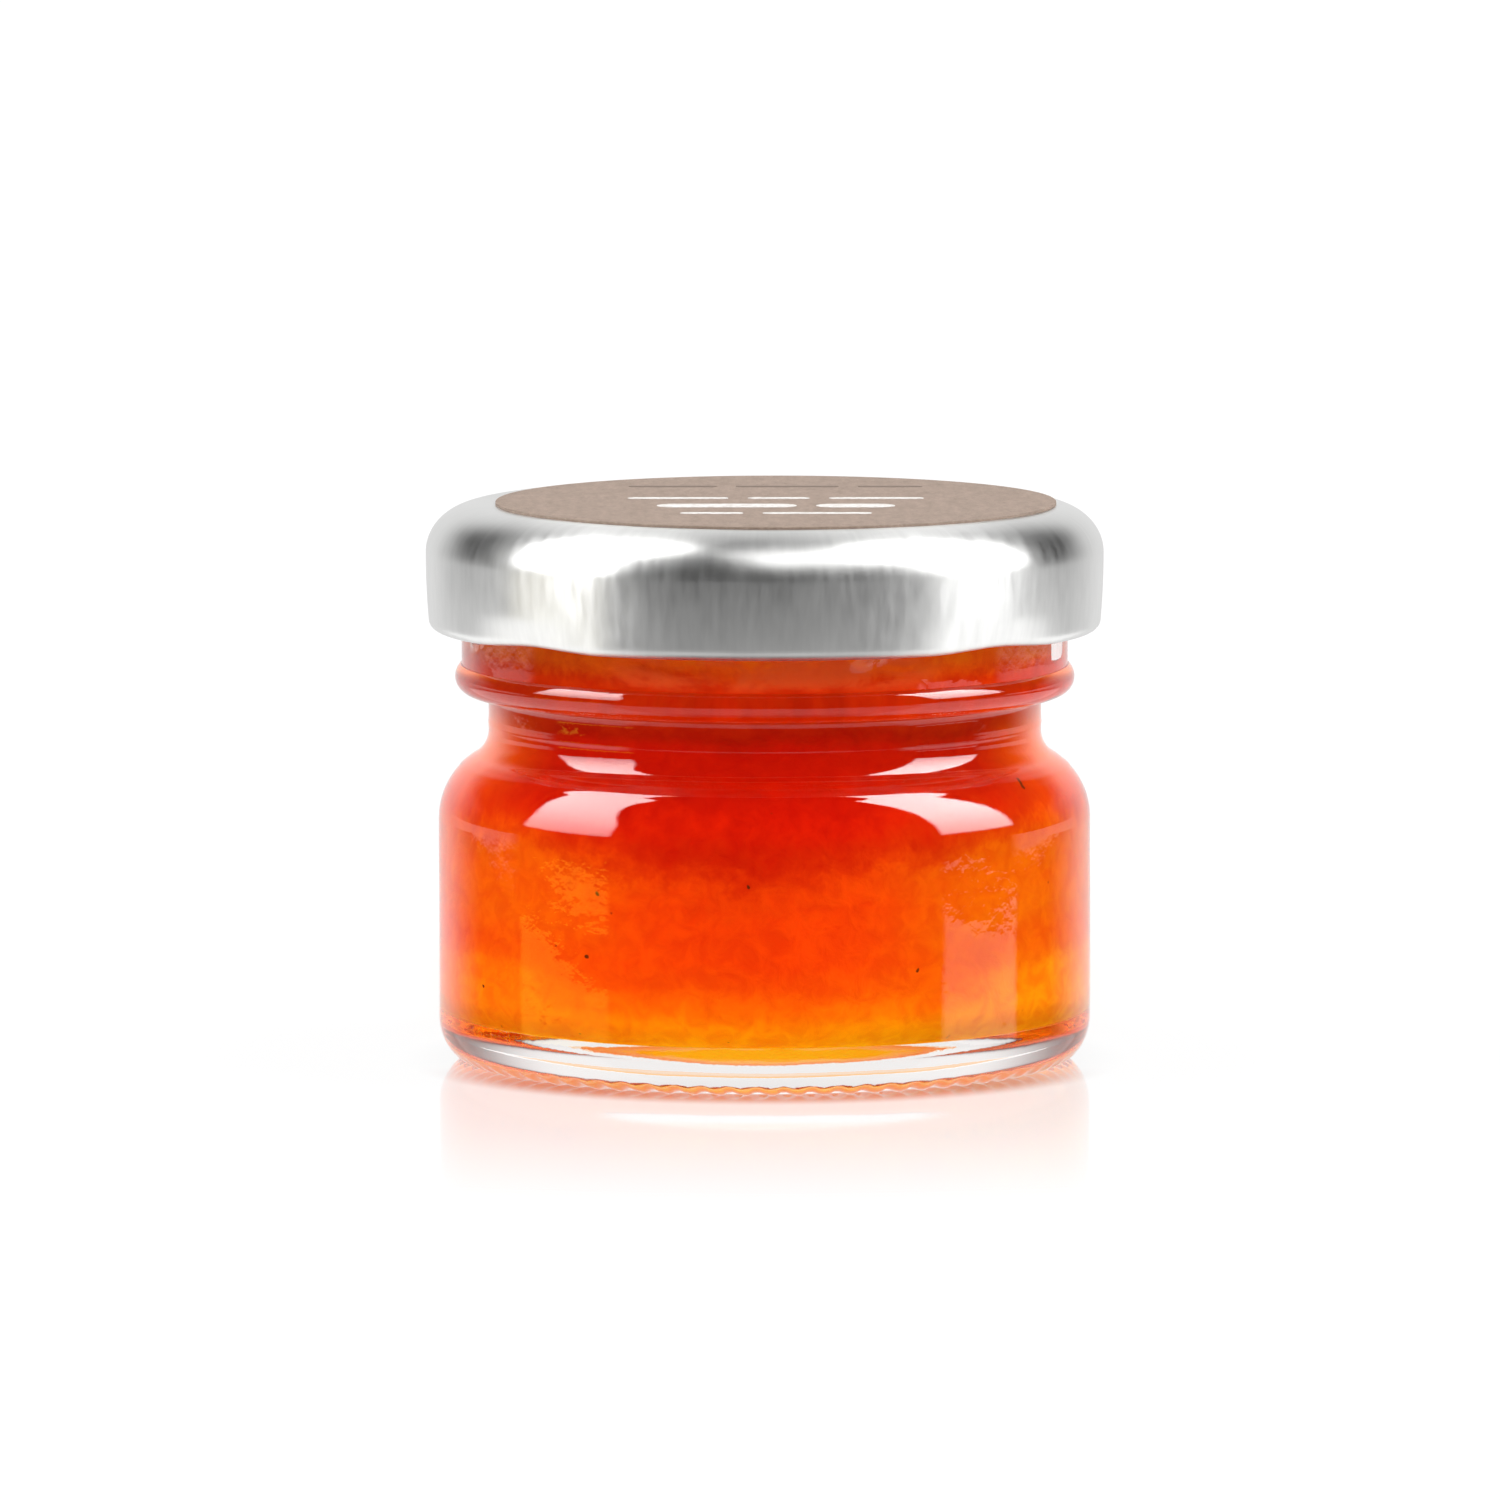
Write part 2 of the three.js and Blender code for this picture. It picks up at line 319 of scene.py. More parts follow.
def turned(name, outline, segments, shift=None):
    """A closed mesh turned about Z from an outline that starts and ends on the axis.

    shift(azimuth, radius, height) gives the change of radius and of height at each point.
    """
    rows = outline[1:-1]
    azimuth, radius = np.meshgrid(np.arange(segments) * 360 / segments, rows[:, 0])
    height = np.repeat(rows[:, 1:], segments, axis=1)
    if shift:
        radius_change, height_change = shift(azimuth, radius, height)
        radius = radius + radius_change
        height = height + height_change
    turn = azimuth * DEGREE
    points = np.stack((radius * np.sin(turn), -radius * np.cos(turn), height), axis=-1).reshape(-1, 3)
    poles = [(0, 0, outline[0, 1]), (0, 0, outline[-1, 1])]
    here = np.arange(segments)
    after = (here + 1) % segments
    first_pole = len(points)
    last_row = first_pole - segments
    faces = [(first_pole, b, a) for a, b in zip(here.tolist(), after.tolist())]
    for start in range(0, last_row, segments):
        above = start + segments
        quads = np.column_stack((start + here, start + after, above + after, above + here))
        faces.extend(quads.tolist())
    faces.extend((last_row + a, last_row + b, first_pole + 1) for a, b in zip(here.tolist(), after.tolist()))
    return mesh_of(name, np.vstack((points, poles)), faces)


def mesh_of(name, points, faces, sharp_angle=40):
    """A smooth-shaded mesh from points in millimetres, with edges above sharp_angle kept crisp."""
    mesh = bpy.data.meshes.new(name)
    mesh.from_pydata((np.asarray(points) * MM).tolist(), [], faces)
    mesh.shade_smooth()
    mesh.set_sharp_from_angle(angle=sharp_angle * DEGREE)
    return mesh


def piece(name, mesh, material, node=None):
    """Puts a mesh in the scene as a piece of the jar."""
    made = bpy.data.objects.new(name, mesh)
    bpy.context.scene.collection.objects.link(made)
    mesh.materials.append(material)
    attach(made, "root")
    if node:
        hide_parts(node)
    return made


class Graph:
    """Short calls for building a node tree."""

    def __init__(self, tree):
        self.tree = tree
        tree.nodes.clear()

    def add(self, kind, inputs=None, **settings):
        node = self.tree.nodes.new(kind)
        for name, value in settings.items():
            setattr(node, name, value)
        for name, value in (inputs or {}).items():
            self.feed(node.inputs[name], value)
        return node

    def feed(self, socket, value):
        if isinstance(value, bpy.types.NodeSocket):
            self.tree.links.new(value, socket)
        else:
            socket.default_value = value

    def math(self, operation, *values):
        node = self.add("ShaderNodeMath", operation=operation)
        for socket, value in zip(node.inputs, values):
            self.feed(socket, value)
        return node.outputs[0]

    def total(self, *values):
        result = values[0]
        for value in values[1:]:
            result = self.math("ADD", result, value)
        return result

    def product(self, *values):
        result = values[0]
        for value in values[1:]:
            result = self.math("MULTIPLY", result, value)
        return result

    def rise(self, value, low, high, bottom=0.0, top=1.0):
        """Soft step from bottom to top as value goes from low to high."""
        inputs = {"Value": value, "From Min": low, "From Max": high, "To Min": bottom, "To Max": top}
        return self.add("ShaderNodeMapRange", inputs, interpolation_type="SMOOTHSTEP").outputs[0]

    def window(self, value, low, high, soft):
        """1 between low and high, with soft edges, and 0 outside."""
        up = self.rise(value, low - soft, low + soft)
        down = self.rise(value, high - soft, high + soft, 1.0, 0.0)
        return self.product(up, down)

    def bell(self, value, width):
        ratio = self.math("DIVIDE", value, width)
        return self.math("EXPONENT", self.product(ratio, ratio, -1.0))

    def place(self):
        """Object coordinates in millimetres: the vector, its three parts and the azimuth."""
        coordinates = self.add("ShaderNodeTexCoord").outputs["Object"]
        scaled = self.add("ShaderNodeVectorMath", {0: coordinates, "Scale": 1 / MM}, operation="SCALE")
        vector = scaled.outputs["Vector"]
        x, y, z = self.add("ShaderNodeSeparateXYZ", {0: vector}).outputs
        return vector, x, y, z, self.azimuth(x, y)

    def azimuth(self, x, y):
        return self.math("DEGREES", self.math("ARCTAN2", x, self.math("MULTIPLY", y, -1.0)))

    def vector(self, x, y, z):
        return self.add("ShaderNodeCombineXYZ", {0: x, 1: y, 2: z}).outputs[0]

    def noise(self, vector, scale, detail=3.0, roughness=0.5, distortion=0.0):
        inputs = {
            "Vector": vector,
            "Scale": scale,
            "Detail": detail,
            "Roughness": roughness,
            "Distortion": distortion,
        }
        return self.add("ShaderNodeTexNoise", inputs).outputs[0]

    def ramp(self, value, stops, low, high):
        """Colours at the given values, blended between them."""
        ramp = self.add("ShaderNodeValToRGB", {0: self.linear(value, low, high)})
        elements = ramp.color_ramp.elements
        while len(elements) < len(stops):
            elements.new(0.5)
        for element, (at, colour) in zip(elements, stops):
            element.position = (at - low) / (high - low)
            element.color = (*colour, 1)
        return ramp.outputs[0]

    def linear(self, value, low, high, bottom=0.0, top=1.0):
        """Straight line from bottom to top as value goes from low to high."""
        inputs = {"Value": value, "From Min": low, "From Max": high, "To Min": bottom, "To Max": top}
        return self.add("ShaderNodeMapRange", inputs).outputs[0]

    def mix(self, factor, first, second, blend="MIX"):
        node = self.add("ShaderNodeMix", data_type="RGBA", blend_type=blend)
        self.feed(node.inputs["Factor"], factor)
        self.feed(node.inputs["A"], first)
        self.feed(node.inputs["B"], second)
        return node.outputs["Result"]

    def relief(self, height, depth, strength=1.0):
        """Bump of that depth in millimetres."""
        inputs = {"Height": height, "Distance": depth * MM, "Strength": strength}
        return self.add("ShaderNodeBump", inputs).outputs[0]

    def surface(self, shader):
        self.add("ShaderNodeOutputMaterial", {"Surface": shader})


def new_material(name):
    material = bpy.data.materials.new(name)
    material.use_nodes = True
    return material, Graph(material.node_tree)


# Glass jar
shoulder_centre = BODY_RADIUS - SHOULDER_RADIUS
waist_fillet_centre = WAIST_RADIUS + WAIST_FILLET
shoulder_end = math.acos((waist_fillet_centre - shoulder_centre) / (SHOULDER_RADIUS + WAIST_FILLET)) / DEGREE
waist_start = SHOULDER_START + (SHOULDER_RADIUS + WAIST_FILLET) * math.sin(shoulder_end * DEGREE)
bead_fillet_centre = WAIST_RADIUS + BEAD_FILLET
bead_reach = (bead_fillet_centre - BEAD_CENTRE_RADIUS) / (BEAD_RADIUS + BEAD_FILLET)
bead_start = -math.acos(bead_reach) / DEGREE
waist_end = BEAD_CENTRE_HEIGHT + (BEAD_RADIUS + BEAD_FILLET) * math.sin(bead_start * DEGREE)
bead_finish = math.asin((FINISH_FOOT_HEIGHT - BEAD_CENTRE_HEIGHT) / BEAD_RADIUS) / DEGREE


def glass_outside():
    """Outside of the glass, from the middle of the underside up to the rim."""
    hollow = BEARING_INNER_RADIUS - HOLLOW_EDGE_WIDTH
    heel_foot = BODY_RADIUS - HEEL_WIDTH
    finish_top = RIM_HEIGHT - RIM_ROUNDING
    bead_centre = (BEAD_CENTRE_RADIUS, BEAD_CENTRE_HEIGHT)
    waist_size = (WAIST_FILLET, WAIST_FILLET)
    bead_fillet_size = (BEAD_FILLET, BEAD_FILLET)
    shoulder_size = (SHOULDER_RADIUS, SHOULDER_RADIUS)
    bead_size = (BEAD_RADIUS, BEAD_RADIUS)
    rim_size = (RIM_ROUNDING, RIM_ROUNDING)
    return joined(
        shallow_dome(hollow, HOLLOW_EDGE_HEIGHT, PUSH_UP - HOLLOW_EDGE_HEIGHT, LONG_STEP),
        line((hollow, HOLLOW_EDGE_HEIGHT), (BEARING_INNER_RADIUS, 0), FINE_STEP),
        line((BEARING_INNER_RADIUS, 0), (heel_foot, 0), FINE_STEP),
        arc((heel_foot, HEEL_HEIGHT), (HEEL_WIDTH, HEEL_HEIGHT), -90, 0, FINE_STEP),
        line((BODY_RADIUS, HEEL_HEIGHT), (BODY_RADIUS, SHOULDER_START), LONG_STEP),
        arc((shoulder_centre, SHOULDER_START), shoulder_size, 0, shoulder_end, FINE_STEP),
        arc((waist_fillet_centre, waist_start), waist_size, 180 + shoulder_end, 180, TIGHT_STEP),
        line((WAIST_RADIUS, waist_start), (WAIST_RADIUS, waist_end), FINE_STEP),
        arc((bead_fillet_centre, waist_end), bead_fillet_size, 180, 180 + bead_start, TIGHT_STEP),
        arc(bead_centre, bead_size, bead_start, bead_finish, TIGHT_STEP),
        line((FINISH_RADIUS, FINISH_FOOT_HEIGHT), (FINISH_RADIUS, finish_top), MEDIUM_STEP),
        arc((FINISH_RADIUS - RIM_ROUNDING, finish_top), rim_size, 0, 90, ROUND_STEP),
    )


def glass_inside(top, offset):
    """Inside of the glass from the mouth down to the middle of the floor, moved outwards by offset."""
    body = INNER_RADIUS + offset
    neck = WAIST_RADIUS - WALL + offset
    mouth = MOUTH_RADIUS + offset
    floor = FLOOR_EDGE_HEIGHT - offset
    floor_radius = body - FLOOR_ROUNDING
    fillet = WAIST_FILLET + WALL - offset
    shoulder = SHOULDER_RADIUS - WALL + offset
    corner = (floor_radius, floor + FLOOR_ROUNDING)
    return joined(
        line((mouth, top), (mouth, FINISH_FOOT_HEIGHT), NECK_STEP),
        line((mouth, FINISH_FOOT_HEIGHT), (neck, NECK_FLARE_START), NECK_STEP),
        arc((waist_fillet_centre, waist_start), (fillet, fillet), 180, 180 + shoulder_end, NECK_STEP),
        arc((shoulder_centre, SHOULDER_START), (shoulder, shoulder), shoulder_end, 0, MEDIUM_STEP),
        line((body, SHOULDER_START), (body, corner[1]), LONG_STEP),
        arc(corner, (FLOOR_ROUNDING, FLOOR_ROUNDING), 0, -90, ROUND_STEP),
        shallow_dome(floor_radius, floor, FLOOR_RISE, LONG_STEP)[::-1],
    )


def thread_relief(azimuth, height):
    """Raised threads: each has its low end to the left of its lug and climbs to the right."""
    angle = angle_from_lug(azimuth)
    middle = np.interp(angle, THREAD_ANGLES, THREAD_HEIGHTS)
    across = smooth(THREAD_STEEPNESS * (1 - np.abs(height - middle) / THREAD_HALF_HEIGHT))
    from_end = np.minimum(angle - THREAD_ANGLES[0], THREAD_ANGLES[-1] - angle)
    return THREAD_RELIEF * across * smooth(from_end / THREAD_END_FADE)


def make_glass():
    outside = glass_outside()
    outline = joined(outside, glass_inside(RIM_HEIGHT, 0))
    outer_rows = len(outside) - 1

    def marks(azimuth, radius, height):
        rows = np.arange(len(radius))[:, None]
        outer = rows < outer_rows
        finish = outer & (np.abs(radius - FINISH_RADIUS) < TOUCH) & (height > FINISH_FOOT_HEIGHT + TOUCH)
        walls = outer & (height > KNURL_TOP) & ~finish
        seam = sum(bump(turn_between(azimuth, at), SEAM_WIDTH) for at in SEAM_AZIMUTHS)
        ring = sum(bump(height - at, RING_WIDTH) for at in RING_HEIGHTS)
        fade = smooth((height - KNURL_TOP) / KNURL_TOP)
        wave = GLASS_RIPPLE * ripple(azimuth, height, GLASS_PHASE) * fade
        radius_change = np.where(walls, wave + RING_RELIEF * ring, 0)
        radius_change += np.where(finish, thread_relief(azimuth, height) + SEAM_HEIGHT * seam, 0)
        phase = (KNURL_COUNT * azimuth + KNURL_SLANT * radius) * DEGREE
        notch = smooth(0.5 + KNURL_STEEPNESS * np.cos(phase))
        bearing = outer & (radius > BEARING_INNER_RADIUS - TOUCH) & (height < KNURL_TOP)
        height_change = np.where(bearing, KNURL_DEPTH * notch * (1 - height / KNURL_TOP), 0)
        return radius_change, height_change

    mesh = turned("jar_glass", outline, GLASS_SEGMENTS, marks)
    return piece("jar_glass", mesh, glass_material(), "glass_jar")


GLASS_TINT = (0.985, 0.995, 0.985, 1)
GLASS_IOR = 1.5
SMUDGE_NOISE = (0.35, 4.0, 0.6)  # scale, detail and roughness of the noise
SMUDGE_ROUGHNESS = (0.55, 0.8, 0.0, 0.05)  # soft step
GRAIN_NOISE = (1.2, 2.0)
GRAIN_DEPTH = 0.004


def glass_material():
    """Clear soda glass with faint smudges. Light for the jam passes straight through it."""
    material, graph = new_material("clear_glass")
    place = graph.place()[0]
    smudge = graph.noise(place, *SMUDGE_NOISE)
    grain = graph.noise(place, *GRAIN_NOISE)
    shader = graph.add(
        "ShaderNodeBsdfPrincipled",
        {
            "Base Color": GLASS_TINT,
            "Roughness": graph.rise(smudge, *SMUDGE_ROUGHNESS),
            "IOR": GLASS_IOR,
            "Transmission Weight": 1.0,
            "Normal": graph.relief(grain, GRAIN_DEPTH),
        },
    ).outputs[0]
    rays = graph.add("ShaderNodeLightPath").outputs
    passing = graph.math("MAXIMUM", rays["Is Shadow Ray"], rays["Is Diffuse Ray"])
    clear = graph.add("ShaderNodeBsdfTransparent").outputs[0]
    mixed = graph.add("ShaderNodeMixShader", {0: passing, 1: shader, 2: clear}).outputs[0]
    graph.surface(mixed)
    return material


# Jam
def make_jam():
    inside = glass_inside(JAM_LEVEL, JAM_INTO_WALL)[::-1]
    rim = inside[-1]
    surface = line(rim, (0, JAM_LEVEL), LONG_STEP)
    outline = joined(inside, surface)
    pocket_radius, pocket_fade = POCKET_REACH

    def uneven(azimuth, radius, height):
        from_edge = POCKET_HALF_WIDTH - np.abs(turn_between(azimuth, POCKET_AZIMUTH))
        above_foot = smooth((height - POCKET_FOOT) / POCKET_FOOT_FADE)
        pocket = smooth(from_edge / POCKET_EDGE) * above_foot * smooth((radius - pocket_radius) / pocket_fade)
        lump = JAM_LUMPS * ripple(azimuth, radius, JAM_PHASE) * smooth(height - JAM_LEVEL + 1)
        return -POCKET_DEPTH * pocket, lump * smooth((rim[0] - radius) / LUMP_FADE)

    mesh = turned("jam_fill", outline, JAM_SEGMENTS, uneven)
    return piece("jam_fill", mesh, jam_material(), "jam")


# Partly the jelly's own colour and partly painted light: deep red where little light gets through, gold low
# down where light comes through the jelly, and a lighter neck against the lid's shade.
JAM_COLOURS = (  # linear colour at each height
    (3.4, (0.92, 0.240, 0.0010)),
    (4.5, (0.88, 0.205, 0.0006)),
    (5.3, (0.80, 0.128, 0.0005)),
    (7.0, (0.67, 0.054, 0.0005)),
    (9.0, (0.66, 0.038, 0.0005)),
    (13.0, (0.65, 0.035, 0.0005)),
    (15.0, (0.60, 0.034, 0.0005)),
    (15.8, (0.54, 0.022, 0.0005)),
    (17.0, (0.47, 0.012, 0.0004)),
    (18.5, (0.45, 0.007, 0.0004)),
    (20.0, (0.37, 0.004, 0.0003)),
    (22.5, (0.43, 0.005, 0.0003)),
    (23.5, (0.33, 0.006, 0.0004)),
    (25.0, (0.40, 0.014, 0.0005)),
    (26.2, (0.57, 0.019, 0.0005)),
    (27.2, (0.72, 0.030, 0.0008)),
    (28.3, (0.98, 0.110, 0.0040)),
)
JAM_RAMP_TOP = 32.0
JAM_BORDER = 15.6  # mean height of the border between orange and red
JAM_DIP = 1.8  # the red reaches this much lower at the front
JAM_DIP_WIDTH = 32  # degrees
SIDE_LIFT = 1.2  # the border lies this much higher at the sides
BLOTCH_REACH = 6.0  # blotches and crumbs move the border up and down by up to half of this
CRUMB_REACH = 2.4

# Noises of the jam: scale, detail, roughness and distortion
BLOTCH_NOISE = (0.3, 5.0, 0.62)
CRUMB_NOISE = (1.3, 3.0, 0.65, 0.5)
PULP_NOISE = (0.7, 4.0, 0.6, 0.6)
SHRED_NOISE = (0.22, 4.0, 0.62, 0.6)
SHRED_FLATNESS = 2.2
SPECK_NOISE = (1.1, 1.0)

# Soft steps of the jam: where it starts, where it ends and the values there.
# They go by height, unless a comment or the name says otherwise.
RAGGED_ABOVE_FOOT = (5.0, 13.0, 0.14, 1.0)
RAGGED_BELOW_NECK = (20.0, 23.0, 1.0, 0.4)
DIP_ABOVE_FOOT = (7.0, 12.0, 0.0, JAM_DIP)
DIP_BELOW_WAIST = (19.0, 23.0, 1.0, 0.0)
LIFT_BY_TURN = (30.0, 55.0, 0.0, -SIDE_LIFT)
LIFT_BELOW_SHOULDER = (16.5, 18.5, 1.0, 0.0)
# The GOLDEN and FOOT steps shape painted glow of light through the jelly; RIGHT_SHADE is painted shade, and
# BACK_BY_TURN places painted backlight.
GOLDEN_BESIDE_FRONT = (0.0, 0.8, 0.8, 0.0)  # by nearness to the front
GOLDEN_LOW_LEFT = (7.0, 11.0, 0.15, 0.0)
GOLDEN_LOW_RIGHT = (7.0, 17.0, 0.45, 0.2)
FOOT_HEIGHTS = (5.5, 8.0)
FOOT_BESIDE_FRONT = (0.0, 0.8, 0.5, 1.0)  # by nearness to the front
PULP_GREEN = (0.3, 0.7, 0.8, 1.2)  # by the pulp noise
PULP_RED = (0.3, 0.7, 0.94, 1.06)  # by the pulp noise
RIGHT_SHADE = (23.0, 26.0, -0.29, 0.0)
BACK_BY_TURN = (50.0, 105.0, 0.0, 0.8)
SHREDS_SEEN = (0.40, 0.60, 0.0, 0.85)  # by the shred noise
SHREDS_IN_NECK = (26.4, 27.4)
SPECKS_SEEN = (0.77, 0.80)  # by the speck noise
SPECKS_BELOW_SHOULDER = (19.0, 20.0, 1.0, 0.0)
FLOOR_BY_RADIUS = (9.0, 15.0)
FLOOR_EDGE_BY_RADIUS = (16.8, 17.6, 1.0, 0.0)
FLOOR_BELOW_WALL = (4.6, 5.2, 1.0, 0.0)

# Windows of the jam: low end, high end and softness
# GOLDEN_HEIGHTS and the two sides place painted glow and painted shade.
GOLDEN_HEIGHTS = (9.0, JAM_BORDER, 1.5)
LEFT_SIDE = (-150.0, -30.0, 30.0)
RIGHT_SIDE = (25.0, 145.0, 25.0)
BACK_HEIGHTS = (18.0, 24.0, 1.5)
FRUIT_ACROSS = (-32.0, 36.0, 6.0)

# Painted shade: FRONT_RED is the red's factor outside the left side, and LEFT_SHADE darkens the left side.
FRONT_RED = 1.06
LEFT_SHADE = -0.21
PULP_COLOUR = (0.90, 0.100, 0.018, 1)
BACK_COLOUR = (0.85, 0.150, 0.002, 1)  # the side that the backdrop lights
# Painted glow of light through the jam's underside, in the middle and towards its edge:
FLOOR_MIDDLE_GLOW = (0.95, 0.350, 0.006, 1)
FLOOR_RING_GLOW = (0.82, 0.170, 0.008, 1)
SPECK_COLOUR = (0.10, 0.012, 0.001, 1)
PULP_DEPTH = 0.1
JAM_ROUGHNESS = 0.4
JAM_SCATTER = 0.5
JAM_SCATTER_COLOUR = (1.0, 0.3, 0.1)
JAM_SCATTER_REACH = 0.8 * MM


def jam_layers(graph, place, z, front, lift):
    """Colours by height, with a ragged border that dips at the front and is higher at the sides."""
    blotches = graph.product(graph.noise(place, *BLOTCH_NOISE), BLOTCH_REACH)
    crumbs = graph.product(graph.noise(place, *CRUMB_NOISE), CRUMB_REACH)
    uneven = graph.total(blotches, crumbs, -(BLOTCH_REACH + CRUMB_REACH) / 2)
    ragged = graph.product(uneven, graph.rise(z, *RAGGED_ABOVE_FOOT), graph.rise(z, *RAGGED_BELOW_NECK))
    dip = graph.product(front, graph.rise(z, *DIP_ABOVE_FOOT), graph.rise(z, *DIP_BELOW_WAIST))
    lowered = graph.product(lift, graph.rise(z, *LIFT_BELOW_SHOULDER))
    return graph.ramp(graph.total(z, ragged, dip, lowered), JAM_COLOURS, 0.0, JAM_RAMP_TOP)


def jam_tint(graph, pulp, z, azimuth, front, lift):
    """Factor for the colour: pulp tone, painted glow that makes it more yellow beside the front and low down,
    where light comes through the jelly, and painted shade that darkens the red at the sides.
    """
    below_border = graph.window(graph.total(z, lift), *GOLDEN_HEIGHTS)
    beside = graph.product(graph.rise(front, *GOLDEN_BESIDE_FRONT), below_border)
    left = graph.window(azimuth, *LEFT_SIDE)
    right = graph.window(azimuth, *RIGHT_SIDE)
    glow_low_left = graph.product(left, graph.rise(z, *GOLDEN_LOW_LEFT))
    glow_low_right = graph.product(right, graph.rise(z, *GOLDEN_LOW_RIGHT))
    foot = graph.rise(z, *FOOT_HEIGHTS, graph.rise(front, *FOOT_BESIDE_FRONT), 1.0)
    painted_glow = graph.total(1.0, beside, glow_low_left, glow_low_right)
    green = graph.product(graph.rise(pulp, *PULP_GREEN), painted_glow, foot)
    left_shade = graph.math("MULTIPLY_ADD", left, LEFT_SHADE, FRONT_RED)
    right_shade = graph.math("MULTIPLY_ADD", right, graph.rise(z, *RIGHT_SHADE), 1.0)
    red = graph.product(left_shade, right_shade, graph.rise(pulp, *PULP_RED))
    return graph.vector(red, green, 1.0)


def jam_material():
    """Jelly that goes from red under the lid to orange at the bottom, with an uneven border and pulp; its
    colours are partly its own and partly painted light: painted shade at the sides and painted glow low down,
    at the back and on the underside.
    """
    material, graph = new_material("apricot_jam")
    place, x, y, z, azimuth = graph.place()
    sideways = graph.math("ABSOLUTE", azimuth)
    radius = graph.math("SQRT", graph.total(graph.product(x, x), graph.product(y, y)))
    front = graph.bell(azimuth, JAM_DIP_WIDTH)
    lift = graph.rise(sideways, *LIFT_BY_TURN)
    pulp = graph.noise(place, *PULP_NOISE)
    layers = jam_layers(graph, place, z, front, lift)
    colour = graph.mix(1.0, layers, jam_tint(graph, pulp, z, azimuth, front, lift), "MULTIPLY")

    # Painted backlight: at the back, between given heights, the jam takes the colour of jelly that the
    # backdrop lights through.
    back = graph.product(graph.rise(sideways, *BACK_BY_TURN), graph.window(z, *BACK_HEIGHTS))
    colour = graph.mix(back, colour, BACK_COLOUR)
    shreds = graph.noise(graph.vector(x, y, graph.product(z, SHRED_FLATNESS)), *SHRED_NOISE)
    fruit = graph.product(graph.rise(shreds, *SHREDS_SEEN), graph.window(azimuth, *FRUIT_ACROSS))
    colour = graph.mix(graph.product(fruit, graph.rise(z, *SHREDS_IN_NECK)), colour, PULP_COLOUR)
    dots = graph.rise(graph.noise(place, *SPECK_NOISE), *SPECKS_SEEN)
    specks = graph.product(dots, graph.rise(z, *SPECKS_BELOW_SHOULDER))
    colour = graph.mix(specks, colour, SPECK_COLOUR)

    # Painted glow: the jam's underside is gold, brightest in the middle, for light that comes through it.
    floor_glow = graph.mix(graph.rise(radius, *FLOOR_BY_RADIUS), FLOOR_MIDDLE_GLOW, FLOOR_RING_GLOW)
    with_floor = graph.mix(graph.rise(radius, *FLOOR_EDGE_BY_RADIUS), colour, floor_glow)
    colour = graph.mix(graph.rise(z, *FLOOR_BELOW_WALL), colour, with_floor)
    shader = graph.add(
        "ShaderNodeBsdfPrincipled",
        {
            "Base Color": colour,
            "Roughness": JAM_ROUGHNESS,
            "Specular IOR Level": 0.0,
            "Subsurface Weight": JAM_SCATTER,
            "Subsurface Radius": JAM_SCATTER_COLOUR,
            "Subsurface Scale": JAM_SCATTER_REACH,
            "Normal": graph.relief(pulp, PULP_DEPTH),
        },
    ).outputs[0]
    mirror = graph.add("ShaderNodeBsdfGlossy", {"Color": (1, 1, 1, 1), "Roughness": 0.0}).outputs[0]
    shallow = graph.add("ShaderNodeFresnel", {"IOR": JAM_TO_GLASS_IOR}).outputs[0]
    graph.surface(graph.add("ShaderNodeMixShader", {0: shallow, 1: shader, 2: mirror}).outputs[0])
    return material


# Lid
def lid_outline():
    """Metal shell from the middle of its inside, round the rolled lower edge, to the middle of the top."""
    edge_width = LID_RADIUS - LID_FLAT_RADIUS
    edge_foot = LID_TOP - LID_EDGE_DROP
    curl = (LID_RADIUS - CURL_RADIUS, LID_BOTTOM + CURL_RADIUS)
    curl_size = (CURL_RADIUS, CURL_RADIUS)
    inner = LID_RADIUS - LID_SHEET
    inner_edge = (edge_width - LID_SHEET, LID_EDGE_DROP - LID_SHEET)
    return joined(
        line((0, LID_TOP - LID_SHEET), (LID_FLAT_RADIUS, LID_TOP - LID_SHEET), LID_INSIDE_STEP),
        arc((LID_FLAT_RADIUS, edge_foot), inner_edge, 90, 0, NECK_STEP),
        line((inner, edge_foot), (inner, LUG_DENT_TOP), NECK_STEP),
        arc(curl, curl_size, CURL_START, 360, CURL_STEP),
        line((LID_RADIUS, curl[1]), (LID_RADIUS, edge_foot), FINE_STEP),
        arc((LID_FLAT_RADIUS, edge_foot), (edge_width, LID_EDGE_DROP), 0, 90, TIGHT_STEP),
        line((LID_FLAT_RADIUS, LID_TOP), (0, LID_TOP), LID_TOP_STEP),
    )


def lug_shape(azimuth, radius, height):
    """At each lug the skirt is pressed in, its lower edge lifts, and the curl reaches in under the thread."""
    across = smooth(1 - np.abs(angle_from_lug(azimuth)) / LUG_HALF_WIDTH)
    low = smooth((LUG_DENT_TOP - height) / (LUG_DENT_TOP - LID_BOTTOM))
    inner = LID_RADIUS - LID_SHEET
    inward = smooth((inner - radius) / (inner - (LID_RADIUS - 2 * CURL_RADIUS)))
    pressed = -across * low * (LUG_DENT + (LUG_REACH - LUG_DENT) * inward)
    return pressed, across * low * LUG_LIFT


def make_lid():
    skirt_top = LID_TOP - LID_EDGE_DROP

    def pressed_skirt(azimuth, radius, height):
        radius_change, height_change = lug_shape(azimuth, radius, height)
        down = np.clip((skirt_top - height) / (skirt_top - LID_BOTTOM), 0, 1)
        return radius_change - LID_TUCK * down**2, height_change

    mesh = turned("lid_metal", lid_outline(), LID_SEGMENTS, pressed_skirt)
    return piece("lid_metal", mesh, lid_material(), "lid")


STREAK_LENGTH = 0.2  # the streaks of the metal are drawn out up and down
STREAK_NOISE = (1.6, 2.0, 0.6)
CLOUD_NOISE = (0.25, 3.0)
DULL_RANGE = (0.35, 0.65)
QUARTER_TURN = 0.25


